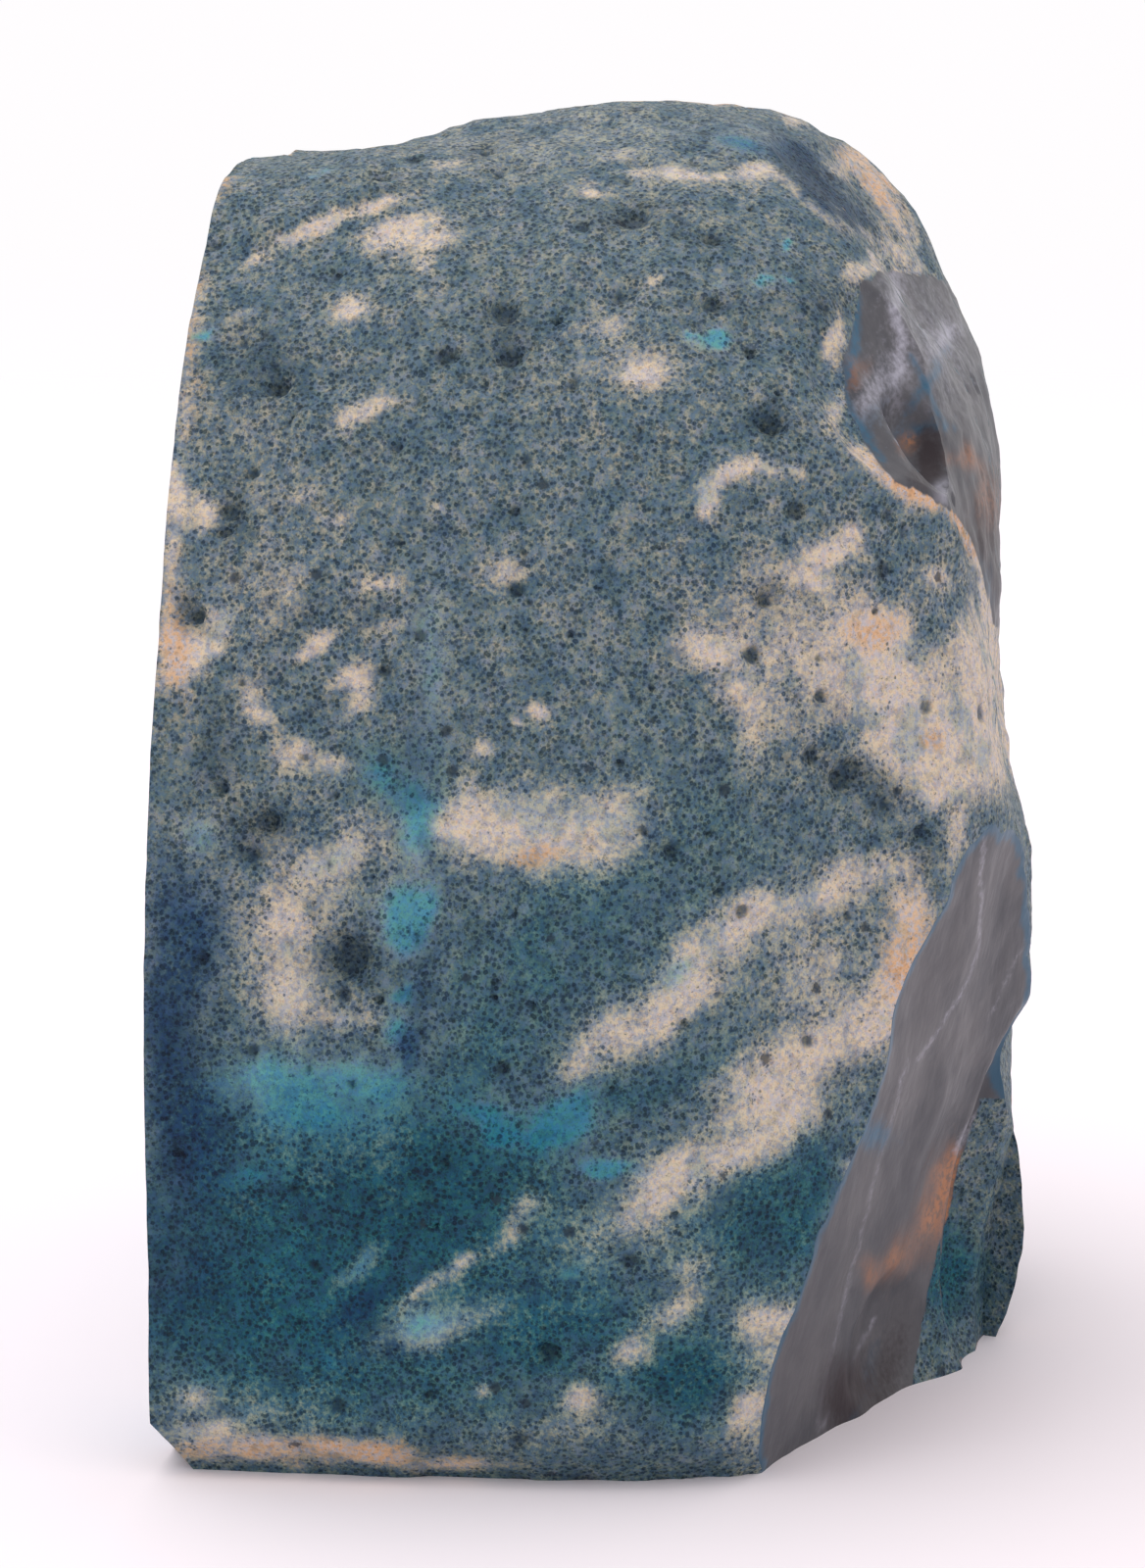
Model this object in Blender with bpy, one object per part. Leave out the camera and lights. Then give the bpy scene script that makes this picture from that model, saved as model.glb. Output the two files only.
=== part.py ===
"""Dyed agate base: half of an agate nodule, sawn flat at the foot and on one polished face.

One solid piece of stone. +Z is up and the foot lies on z = 0, with the origin at the middle of
the outline. The polished face looks along -Y, the natural rind along +X and over the top, and
the broken back along +Y.
"""

import math

import bmesh
import bpy
import numpy as np
from mathutils import Vector, noise

MM = 0.001

# Driving dimensions, in millimetres
HEIGHT = 114.0
FACE_Y = -35.6
CORE_HEIGHT = 52.0
CROWN = HEIGHT - CORE_HEIGHT
ROUNDING = 10.0

# Saw cuts and fractures: how far a cutter reaches past the stone, the spacing of the points on a
# fracture, its undulation, and how softly one bowl passes into the next
SAW_REACH = 90.0
CUT_MARGIN = 30.0
CUT_STEP = 1.5
BREAK_WAVE = 0.45
BREAK_LENGTH = 9.0
BOWL_BLEND = 0.18

# Fineness: steps along the side of each face of the starting cube, and the share of its
# triangles that stays
BODY_STEPS = 64
BODY_TRIANGLES_KEPT = 0.2

# Halvings of the search for a point of the rind, which end within a micrometre of it
HALVINGS = 30

# Flats that bound the nodule before it is sawn: bearing from +X towards +Y and tilt above the
# horizon, in degrees, and distance from the core, in millimetres
FLATS = {
    "near": (3.0, 1.0, 46.0),
    "near low": (3.0, -28.0, 74.0),
    "near upper": (0.0, 24.0, 48.0),
    "near shoulder": (2.0, 50.0, 58.5),
    "near left shoulder": (-38.0, 30.0, 71.0),
    "crown near": (0.0, 72.0, CROWN + 5.0),
    "crown": (180.0, 84.0, CROWN + 8.4),
    "crown left": (-90.0, 80.0, CROWN + 5.0),
    "crown right": (92.0, 50.0, CROWN - 2.0),
    "crown far": (180.0, 48.0, CROWN + 1.0),
    "right upper": (94.0, 22.0, 41.0),
    "right": (98.0, 1.0, 35.4),
    "right low": (98.0, -20.0, 48.0),
    "near right": (46.0, 3.0, 39.3),
    "near right upper": (45.0, 35.0, 54.0),
    "far right": (138.0, 0.0, 48.0),
    "far": (180.0, 4.0, 45.7),
    "far low": (180.0, -35.0, 57.0),
    "far left": (-125.0, 5.0, 62.0),
}

# Broad lumps and hollows of the rind: bearing, tilt, reach and height, in degrees and millimetres
SWELLS = {
    "near belly": (-8.0, -12.0, 26.0, 1.0),
    "left hollow": (-30.0, -2.0, 14.0, -0.8),
    "crown valley": (103.0, 66.0, 9.0, -2.4),
    "crown cap": (146.0, 64.0, 11.0, 3.4),
    "crown left step": (-112.0, 62.0, 11.0, -2.0),
    "right waist": (84.0, 24.0, 13.0, -2.8),
    "right notch": (99.0, -35.0, 5.5, -4.2),
    "far right notch": (116.0, -32.0, 7.0, -4.0),
    "far foot lump": (95.0, -54.0, 12.0, 2.8),
    "back lump": (178.0, 12.0, 20.0, 2.4),
    "back low lump": (200.0, -22.0, 16.0, 2.0),
    "back hollow": (160.0, -8.0, 13.0, -2.2),
}

# Undulation of the rind: wavelength, height, and where in the noise it is read
WAVES = (
    (24.0, 1.3, (0.0, 5.1, 2.7)),
    (10.0, 0.7, (17.3, 5.1, 2.7)),
)

# Pits of the rind on the near side: distance along Y, height above the foot, width and depth.
# Their outline strays, and their walls steepen by the power PIT_WALL
PITS = (
    (-8.6, 98.7, 9.0, 1.5),
    (-3.0, 100.6, 6.0, 1.2),
    (-6.7, 95.5, 6.5, 1.5),
    (-27.7, 93.6, 7.0, 1.7),
    (-29.6, 96.2, 5.5, 1.4),
    (-30.1, 82.3, 7.0, 1.3),
    (-33.2, 74.6, 5.0, 1.4),
    (15.2, 90.8, 6.0, 1.2),
    (15.2, 77.4, 6.0, 1.0),
    (-17.6, 46.9, 8.5, 1.5),
    (-25.4, 58.3, 7.0, 1.3),
    (23.6, 61.1, 6.5, 1.0),
)
PIT_STRAY = 2.0
PIT_GRAIN = 5.0
PIT_WALL = 1.5

# Ridges and lips of the rind on the near side: height and half width, then points given by
# distance along Y and height above the foot
RIDGES = {
    "crease": (0.9, 1.5, (-31.1, 103.9), (-20.8, 107.3)),
    "left brow": (0.7, 1.8, (-25.3, 89.5), (-21.2, 91.1)),
    "arc": (0.7, 2.0, (10.5, 83.9), (11.9, 86.1), (17.8, 86.8)),
    "lip": (1.3, 2.4, (21.8, 87.8), (24.6, 85.1), (28.7, 82.3), (30.2, 79.0)),
}

# Worn foot: the lowest band of the rind draws in, by the whole depth only on the near side
TUCK_HEIGHT = 4.5
TUCK_DEPTH = 3.0
TUCK_CURVE = 1.5
TUCK_FADE = 16.0
TUCK_FAR_SHARE = 0.15

# Fractures: a point on the face, its outward normal, how far the cut runs away from the near
# side and up, the bowls that shape it, and the ledges left standing on it. A bowl has its place
# on the face (away from the near side, up), half its width and height where it meets the plane
# of the face, and its depth. A ledge has its place, half width, half height and rise
FRACTURES = {
    "lower break": (
        (25.2, 27.5, 33.0), (0.287, 0.934, -0.209), (-30.0, 33.0), (-42.0, 42.0),
        (
            (1.0, 14.0, 9.0, 26.0, 0.9),
            (16.0, 12.0, 10.0, 24.0, 1.0),
            (4.0, -12.0, 12.0, 22.0, 1.0),
            (-8.0, -24.0, 12.0, 22.0, 0.3),
            (16.0, -14.0, 8.0, 16.0, 1.6),
            (11.0, -27.0, 9.0, 8.0, 2.4),
            (25.5, -14.0, 5.5, 17.0, 4.0),
        ),
        ((12.0, -38.0, 8.0, 6.0, 3.6), (24.0, -37.0, 7.0, 7.0, 3.4)),
    ),
    "upper break": (
        (17.0, 24.4, 92.8), (0.43, 0.80, 0.42), (-22.0, 22.0), (-25.0, 25.0),
        (
            (3.0, 4.0, 10.0, 13.0, 2.0),
            (0.5, -5.0, 4.5, 6.0, 3.6),
            (-7.0, 3.0, 5.0, 8.0, 1.9),
            (-3.0, 12.0, 9.0, 6.0, 1.4),
            (9.0, -12.0, 7.0, 10.0, 2.6),
        ),
        (),
    ),
    "crown break": (
        (-4.0, 18.8, 106.0), (-0.05, 0.6, 0.8), (-27.0, 27.0), (-21.0, 21.0),
        (
            (-4.0, 1.0, 10.0, 11.0, 1.5),
            (8.0, -4.0, 8.0, 9.0, 1.5),
        ),
        (),
    ),
    "corner chip": (
        (43.0, -35.6, 1.8), (0.35, -0.7, -0.62), (-12.0, 12.0), (-9.0, 9.0),
        ((0.0, 0.0, 10.0, 10.0, 0.4),),
        (),
    ),
}


def unit(bearing, tilt):
    """Direction from a bearing and a tilt in degrees."""
    turn, rise = math.radians(bearing), math.radians(tilt)
    return np.array((math.cos(turn) * math.cos(rise), math.sin(turn) * math.cos(rise), math.sin(rise)))


def nodule_radius(directions):
    """Distance from the core to the rounded polyhedron that the flats bound."""
    crowding = np.zeros(len(directions))
    for bearing, tilt, distance in FLATS.values():
        facing = np.clip(directions @ unit(bearing, tilt), 0.0, None)
        crowding += (facing / distance) ** ROUNDING
    return crowding ** (-1.0 / ROUNDING)


def rind_point(along, up):
    """Point of the rounded polyhedron on the near side, at a given Y and height."""
    inner, outer = 0.0, SAW_REACH
    for _ in range(HALVINGS):
        middle = (inner + outer) / 2.0
        offset = np.array((middle, along, up - CORE_HEIGHT))
        reach = np.linalg.norm(offset)
        inside = reach < nodule_radius(offset[None] / reach)[0]
        inner, outer = (middle, outer) if inside else (inner, middle)
    return np.array((inner, along, up))


def wave_heights(points):
    """Undulation of the rind at each point, in millimetres."""
    heights = np.zeros(len(points))
    for length, height, start in WAVES:
        shift = Vector(start)
        heights += height * np.array([noise.noise(Vector(point) / length + shift) for point in points])
    return heights


def distance_to_segment(points, start, end):
    line = end - start
    along = np.clip((points - start) @ line / (line @ line), 0.0, 1.0)
    return np.linalg.norm(points - start - along[:, None] * line, axis=1)


def rind_offsets(points):
    """How far the rind stands out from the rounded polyhedron, in millimetres."""
    core = np.array((0.0, 0.0, CORE_HEIGHT))
    offsets = wave_heights(points)
    for bearing, tilt, reach, height in SWELLS.values():
        direction = unit(bearing, tilt)
        middle = core + direction * nodule_radius(direction[None])[0]
        offsets += height * np.exp(-(np.linalg.norm(points - middle, axis=1) / reach) ** 2)
    stray = np.array([noise.noise_vector(Vector(point) / PIT_GRAIN) for point in points])
    strayed = points + PIT_STRAY * stray
    for along, up, width, depth in PITS:
        away = np.linalg.norm(strayed - rind_point(along, up), axis=1) / (width / 2.0)
        offsets -= depth * np.clip(1.0 - away**2, 0.0, None) ** PIT_WALL
    for height, half_width, *places in RIDGES.values():
        corners = [rind_point(along, up) for along, up in places]
        away = np.min([distance_to_segment(points, *ends) for ends in zip(corners, corners[1:])], axis=0)
        offsets += height * np.exp(-((away / half_width) ** 2))
    return offsets


def shaped(directions):
    """Points of the natural nodule, in millimetres, along directions from the core."""
    core = np.array((0.0, 0.0, CORE_HEIGHT))
    radii = nodule_radius(directions)
    radii += rind_offsets(core + directions * radii[:, None])
    points = core + directions * radii[:, None]
    low = np.clip((TUCK_HEIGHT - points[:, 2]) / TUCK_HEIGHT, 0.0, 1.0)
    tuck = TUCK_DEPTH * low**TUCK_CURVE * np.clip(points[:, 0] / TUCK_FADE, TUCK_FAR_SHARE, 1.0)
    sideways = np.maximum(np.hypot(points[:, 0], points[:, 1]), TUCK_DEPTH)
    points[:, :2] *= (1.0 - tuck / sideways)[:, None]
    return points


def add_object(name, mesh, collection):
    thing = bpy.data.objects.new(name, mesh)
    collection.objects.link(thing)
    return thing


def nodule(collection):
    """The whole nodule: a cube's faces, subdivided and blown out to the rind."""
    shape = bmesh.new()
    bmesh.ops.create_cube(shape, size=2.0)
    bmesh.ops.subdivide_edges(shape, edges=shape.edges[:], cuts=BODY_STEPS - 1, use_grid_fill=True)
    cube = np.array([vertex.co for vertex in shape.verts])
    directions = np.tan(cube * math.pi / 4.0)
    directions /= np.linalg.norm(directions, axis=1)[:, None]
    for vertex, point in zip(shape.verts, shaped(directions)):
        vertex.co = point * MM
    bmesh.ops.triangulate(shape, faces=shape.faces[:])
    mesh = bpy.data.meshes.new("agate_base")
    shape.to_mesh(mesh)
    shape.free()
    mesh.shade_smooth()
    return add_object("agate_base", mesh, collection)


def box_cutter(name, low, high, collection):
    """A closed box between two corners, in millimetres."""
    shape = bmesh.new()
    bmesh.ops.create_cube(shape, size=1.0)
    for vertex in shape.verts:
        vertex.co = [(a if side < 0 else b) * MM for side, a, b in zip(vertex.co, low, high)]
    mesh = bpy.data.meshes.new(name)
    shape.to_mesh(mesh)
    shape.free()
    return add_object(name, mesh, collection)


def smooth_lowest(depths):
    """The lowest of the depths, rounded where two of them cross."""
    lowest = min(depths)
    excess = sum(math.exp((lowest - depth) / BOWL_BLEND) for depth in depths)
    return lowest - BOWL_BLEND * math.log(excess)


def fracture_cutter(name, fracture, collection):
    """A block outside a fracture: a grid pressed into bowls, drawn outwards along the normal."""
    middle, normal, run, climb, bowls, ledges = fracture
    outward = Vector(normal).normalized()
    away = Vector((-1.0, 0.0, 0.0))
    away = (away - outward * away.dot(outward)).normalized()
    upward = outward.cross(away)
    if upward.z < 0.0:
        upward.negate()
    shape = bmesh.new()
    steps = [round((end - start) / CUT_STEP) for start, end in (run, climb)]
    bmesh.ops.create_grid(shape, x_segments=steps[0], y_segments=steps[1], size=0.5)
    for vertex in shape.verts:
        along = run[0] + (vertex.co.x + 0.5) * (run[1] - run[0])
        rise = climb[0] + (vertex.co.y + 0.5) * (climb[1] - climb[0])
        depth = smooth_lowest([
            sink * (((along - s) / wide) ** 2 + ((rise - t) / tall) ** 2 - 1.0)
            for s, t, wide, tall, sink in bowls
        ])
        for s, t, wide, tall, height in ledges:
            depth += height * math.exp(-(((along - s) / wide) ** 2) - ((rise - t) / tall) ** 2)
        place = Vector(middle) + away * along + upward * rise
        depth += BREAK_WAVE * noise.noise(place / BREAK_LENGTH)
        vertex.co = (place + outward * depth) * MM
    drawn = bmesh.ops.extrude_face_region(shape, geom=shape.faces[:])
    moved = [item for item in drawn["geom"] if isinstance(item, bmesh.types.BMVert)]
    bmesh.ops.translate(shape, verts=moved, vec=outward * CUT_MARGIN * MM)
    bmesh.ops.recalc_face_normals(shape, faces=shape.faces[:])
    mesh = bpy.data.meshes.new(name)
    shape.to_mesh(mesh)
    shape.free()
    return add_object(name, mesh, collection)


def stone_material():
    material = bpy.data.materials.new("dyed agate rind")
    material.use_nodes = True
    shader = material.node_tree.nodes["Principled BSDF"]
    shader.inputs["Base Color"].default_value = (0.13, 0.2, 0.22, 1.0)
    shader.inputs["Roughness"].default_value = 0.62
    shader.inputs["Metallic"].default_value = 0.0
    return material


def main():
    for thing in list(bpy.data.objects):
        bpy.data.objects.remove(thing, do_unlink=True)
    parts = bpy.data.collections.new("dyed agate base")
    cutters = bpy.data.collections.new("cutters")
    for collection in (parts, cutters):
        bpy.context.scene.collection.children.link(collection)

    stone = nodule(parts)
    stone.data.materials.append(stone_material())
    thinning = stone.modifiers.new("thin", "DECIMATE")
    thinning.ratio = BODY_TRIANGLES_KEPT

    reach = SAW_REACH
    cuts = [
        box_cutter("face cut", (-reach, FACE_Y - reach, -reach), (reach, FACE_Y, 2.0 * reach), cutters),
        box_cutter("foot cut", (-reach, -reach, -reach), (reach, reach, 0.0), cutters),
    ]
    cuts += [fracture_cutter(name, fracture, cutters) for name, fracture in FRACTURES.items()]
    for cutter in cuts:
        cutter.hide_render = True
        cutter.display_type = "WIRE"
        cut = stone.modifiers.new(cutter.name, "BOOLEAN")
        cut.operation = "DIFFERENCE"
        cut.solver = "EXACT"
        cut.object = cutter


main()
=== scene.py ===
import math

import bmesh
import bpy
import numpy as np
from mathutils import Matrix, Vector, noise
from mathutils.kdtree import KDTree


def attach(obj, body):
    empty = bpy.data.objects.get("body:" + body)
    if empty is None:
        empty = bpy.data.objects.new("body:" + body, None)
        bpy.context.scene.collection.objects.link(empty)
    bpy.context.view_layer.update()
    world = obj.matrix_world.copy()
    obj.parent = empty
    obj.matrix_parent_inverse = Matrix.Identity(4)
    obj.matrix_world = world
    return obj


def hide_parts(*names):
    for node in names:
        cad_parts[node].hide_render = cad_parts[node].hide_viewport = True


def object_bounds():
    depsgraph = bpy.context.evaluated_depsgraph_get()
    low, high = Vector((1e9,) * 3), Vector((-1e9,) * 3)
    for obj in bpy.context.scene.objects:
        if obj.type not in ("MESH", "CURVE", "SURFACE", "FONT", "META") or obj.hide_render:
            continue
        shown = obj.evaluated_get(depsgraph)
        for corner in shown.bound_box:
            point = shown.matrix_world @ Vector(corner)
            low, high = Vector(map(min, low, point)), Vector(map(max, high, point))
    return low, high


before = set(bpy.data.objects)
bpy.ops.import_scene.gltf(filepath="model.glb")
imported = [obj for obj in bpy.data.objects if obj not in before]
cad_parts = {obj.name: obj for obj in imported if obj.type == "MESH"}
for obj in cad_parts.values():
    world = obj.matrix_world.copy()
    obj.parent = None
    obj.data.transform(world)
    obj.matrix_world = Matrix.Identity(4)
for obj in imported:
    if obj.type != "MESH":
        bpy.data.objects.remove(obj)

# Lengths here are millimetres unless a name says otherwise; the meshes are in metres.
MM = 0.001
CAD_BOX = [list(corner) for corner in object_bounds()]

# The photograph's frame and viewpoint
PHOTO_WIDTH, PHOTO_HEIGHT = 1168, 1600
VIEW_BEARING, VIEW_RISE = 100.0, 12.0
VIEW_DISTANCE = 550.0
LENS = 140.0
SENSOR = 36.0
AIM = np.array((7.5, -5.65, 54.0))
FOCAL_PIXELS = LENS / SENSOR * PHOTO_HEIGHT

# The stone's shape, as in the solid it replaces
HEIGHT = 114.0
FACE_Y = -35.6
CORE_HEIGHT = 52.0
CORE = np.array((0.0, 0.0, CORE_HEIGHT))
CROWN = HEIGHT - CORE_HEIGHT
ROUNDING = 10.0
SAW_REACH = 120.0
SIGHT_STEPS = 961
CUT_MARGIN = 30.0
BOWL_BLEND = 0.18
HALVINGS = 30

# Fineness of the visible mesh
BODY_STEPS = 104
FACE_STEP = 1.5
CUT_STEP = 0.6

# Flats that bound the nodule: bearing, tilt, distance from the core
FLATS = {
    "near": (3.0, 1.0, 46.0),
    "near low": (3.0, -28.0, 74.0),
    "near upper": (0.0, 24.0, 48.0),
    "near shoulder": (2.0, 50.0, 58.5),
    "near left shoulder": (-38.0, 30.0, 71.0),
    "crown near": (0.0, 72.0, CROWN + 5.0),
    "crown": (180.0, 84.0, CROWN + 8.4),
    "crown left": (-90.0, 80.0, CROWN + 5.0),
    "crown right": (92.0, 50.0, CROWN - 2.0),
    "crown far": (180.0, 48.0, CROWN + 1.0),
    "right upper": (94.0, 22.0, 41.0),
    "right": (98.0, 1.0, 35.4),
    "right low": (98.0, -20.0, 48.0),
    "near right": (46.0, 3.0, 39.3),
    "near right upper": (45.0, 35.0, 54.0),
    "far right": (138.0, 0.0, 48.0),
    "far": (180.0, 4.0, 45.7),
    "far low": (180.0, -35.0, 57.0),
    "far left": (-125.0, 5.0, 62.0),
}

# Broad lumps and hollows: bearing, tilt, reach, height
SWELLS = {
    "near belly": (-8.0, -12.0, 26.0, 1.0),
    "left hollow": (-30.0, -2.0, 14.0, -0.8),
    "crown valley": (103.0, 66.0, 9.0, -2.4),
    "crown cap": (146.0, 64.0, 11.0, 3.4),
    "crown left step": (-112.0, 62.0, 11.0, -2.0),
    "right waist": (84.0, 24.0, 13.0, -2.8),
    "right notch": (99.0, -35.0, 5.5, -4.2),
    "far right notch": (116.0, -32.0, 7.0, -4.0),
    "far foot lump": (95.0, -54.0, 12.0, 2.8),
    "back lump": (178.0, 12.0, 20.0, 2.4),
    "back low lump": (200.0, -22.0, 16.0, 2.0),
    "back hollow": (160.0, -8.0, 13.0, -2.2),
}

# Undulation of the rind: wavelength, height, and where in the noise it is read. The first two
# are the solid's own; the rest is the fine relief that only this mesh has
WAVES = (
    (24.0, 1.3, (0.0, 5.1, 2.7)),
    (10.0, 0.7, (17.3, 5.1, 2.7)),
    (4.6, 0.42, (3.0, 31.0, 7.0)),
    (2.2, 0.24, (41.0, 2.0, 9.0)),
    (1.1, 0.11, (5.0, 13.0, 61.0)),
)

# Ridges and lips of the near rind: height, half width, then points given by Y and height
RIDGES = {
    "crease": (0.9, 1.1, (-31.1, 103.9), (-20.8, 107.3)),
    "left brow": (0.7, 1.6, (-25.3, 89.5), (-21.2, 91.1)),
    "arc": (0.7, 1.8, (10.5, 83.9), (11.9, 86.1), (17.8, 86.8)),
    "lip": (1.3, 2.4, (21.8, 87.8), (24.6, 85.1), (28.7, 82.3), (30.2, 79.0)),
}

# Worn foot
TUCK_HEIGHT = 4.5
TUCK_DEPTH = 3.0
TUCK_CURVE = 1.5
TUCK_FADE = 16.0
TUCK_FAR_SHARE = 0.15

# Fractures: middle, normal, run, climb, bowls (along, up, half width, half height, depth) and
# ledges (along, up, half width, half height, rise)
FRACTURES = {
    "lower break": (
        (25.2, 27.5, 33.0), (0.287, 0.934, -0.209), (-30.0, 33.0), (-42.0, 42.0),
        (
            (1.0, 14.0, 9.0, 26.0, 0.9),
            (16.0, 12.0, 10.0, 24.0, 1.0),
            (4.0, -12.0, 12.0, 22.0, 1.0),
            (-8.0, -24.0, 12.0, 22.0, 0.3),
            (16.0, -14.0, 8.0, 16.0, 1.6),
            (11.0, -27.0, 9.0, 8.0, 2.4),
            (25.5, -14.0, 5.5, 17.0, 4.0),
            (33.0, -12.0, 7.0, 16.0, 1.2),
        ),
        ((12.0, -38.0, 8.0, 6.0, 3.6), (24.0, -37.0, 7.0, 7.0, 3.4)),
    ),
    "upper break": (
        (17.0, 24.4, 92.8), (0.43, 0.80, 0.42), (-22.0, 22.0), (-25.0, 25.0),
        (
            (3.0, 4.0, 10.0, 13.0, 2.0),
            (0.5, -5.0, 4.5, 6.0, 3.6),
            (-7.0, 3.0, 5.0, 8.0, 1.9),
            (-3.0, 12.0, 9.0, 6.0, 1.4),
            (9.0, -12.0, 7.0, 10.0, 2.6),
        ),
        (),
    ),
    "crown break": (
        (-4.0, 18.8, 106.0), (-0.05, 0.6, 0.8), (-27.0, 27.0), (-21.0, 21.0),
        (
            (-4.0, 1.0, 10.0, 11.0, 1.5),
            (8.0, -4.0, 8.0, 9.0, 1.5),
        ),
        (),
    ),
    "corner chip": (
        (43.0, -35.6, 1.8), (0.35, -0.7, -0.62), (-12.0, 12.0), (-9.0, 9.0),
        ((0.0, 0.0, 10.0, 10.0, 0.4),),
        (),
    ),
}
BREAK_WAVES = ((9.0, 0.45), (3.1, 0.14), (1.3, 0.05))

# Finer corrections of the outline that only this mesh has: bearing, tilt, reach, height
DENTS = {
    "corner": (-66.0, 55.0, 9.0, 1.7),
    "beside corner": (-97.0, 60.0, 7.0, -1.7),
    "left brow": (-50.0, 43.0, 11.0, 0.9),
    "cap edge": (143.0, 65.0, 6.0, -1.8),
    "below notch": (133.0, 45.0, 8.0, 1.1),
    "right waist": (118.0, 24.0, 11.0, -1.9),
    "right waist low": (121.0, 5.0, 12.0, -1.5),
    "far waist": (104.0, -39.0, 8.0, -1.7),
}

# Pits of the near rind, where the photograph shows them: pixel across, pixel down, radius in
# pixels and depth
NEAR_PITS = (
    (250, 353, 10, 0.8), (284, 374, 9, 0.8), (284, 395, 16, 1.7), (514, 321, 18, 1.4), (520, 364, 17, 1.4),
    (463, 369, 11, 0.9), (343, 280, 8, 0.6), (391, 266, 6, 0.5), (222, 257, 9, 0.7), (324, 251, 5, 0.4),
    (345, 381, 6, 0.6), (303, 434, 8, 0.7), (312, 420, 7, 0.6), (407, 322, 6, 0.5), (297, 285, 6, 0.5),
    (260, 484, 7, 0.6), (477, 399, 5, 0.5), (498, 399, 5, 0.5), (431, 412, 6, 0.5), (443, 456, 5, 0.5),
    (471, 463, 6, 0.6), (404, 459, 8, 0.5), (388, 304, 5, 0.4), (408, 354, 5, 0.4), (786, 431, 17, 1.5),
    (768, 353, 11, 0.9), (569, 326, 9, 0.8), (651, 447, 7, 0.7), (567, 404, 7, 0.7), (781, 399, 5, 0.5),
    (796, 405, 6, 0.5), (236, 522, 14, 0.7), (228, 544, 11, 0.8), (194, 626, 12, 1.2), (220, 805, 10, 0.7),
    (266, 840, 17, 1.2), (252, 871, 10, 0.8), (407, 554, 6, 0.5), (414, 804, 5, 0.5), (336, 813, 7, 0.5),
    (265, 578, 5, 0.5), (525, 523, 8, 0.6), (495, 744, 5, 0.5), (779, 609, 11, 1.0), (895, 621, 6, 0.6),
    (838, 709, 8, 0.7), (832, 772, 9, 0.6), (872, 785, 16, 0.7), (938, 848, 9, 0.5), (664, 700, 5, 0.5),
    (732, 908, 6, 0.5), (656, 848, 7, 0.5), (354, 980, 26, 1.6), (392, 1017, 7, 0.6), (459, 1180, 9, 0.5),
    (376, 896, 6, 0.6), (397, 915, 4, 0.4), (319, 1089, 5, 0.4), (362, 1101, 5, 0.5), (175, 952, 6, 0.5),
    (204, 979, 6, 0.5), (507, 998, 7, 0.6), (258, 1073, 9, 0.5), (689, 1235, 6, 0.5), (696, 1040, 6, 0.5),
    (495, 152, 12, 0.8), (506, 175, 10, 0.7), (391, 190, 14, 0.8), (647, 219, 20, 0.9), (594, 230, 11, 0.6),
    (727, 241, 16, 0.7), (727, 310, 14, 0.7), (538, 641, 6, 0.5), (603, 865, 5, 0.6), (475, 355, 5, 0.4),
)

# Pits strewn over the whole rind: number, least and greatest radius, how much commoner small ones
# are, and the depths. Then how wide and steep every pit is, and how far its outline strays
STREWN_PITS = 420
STREWN_RADII = (0.35, 1.3)
STREWN_CROWDING = 2.5
STREWN_DEPTHS = (0.25, 0.55)
PIT_REACH = 1.25
PIT_WALL = 1.5
PIT_STRAY = 0.35
PIT_GRAIN = 1.4

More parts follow.
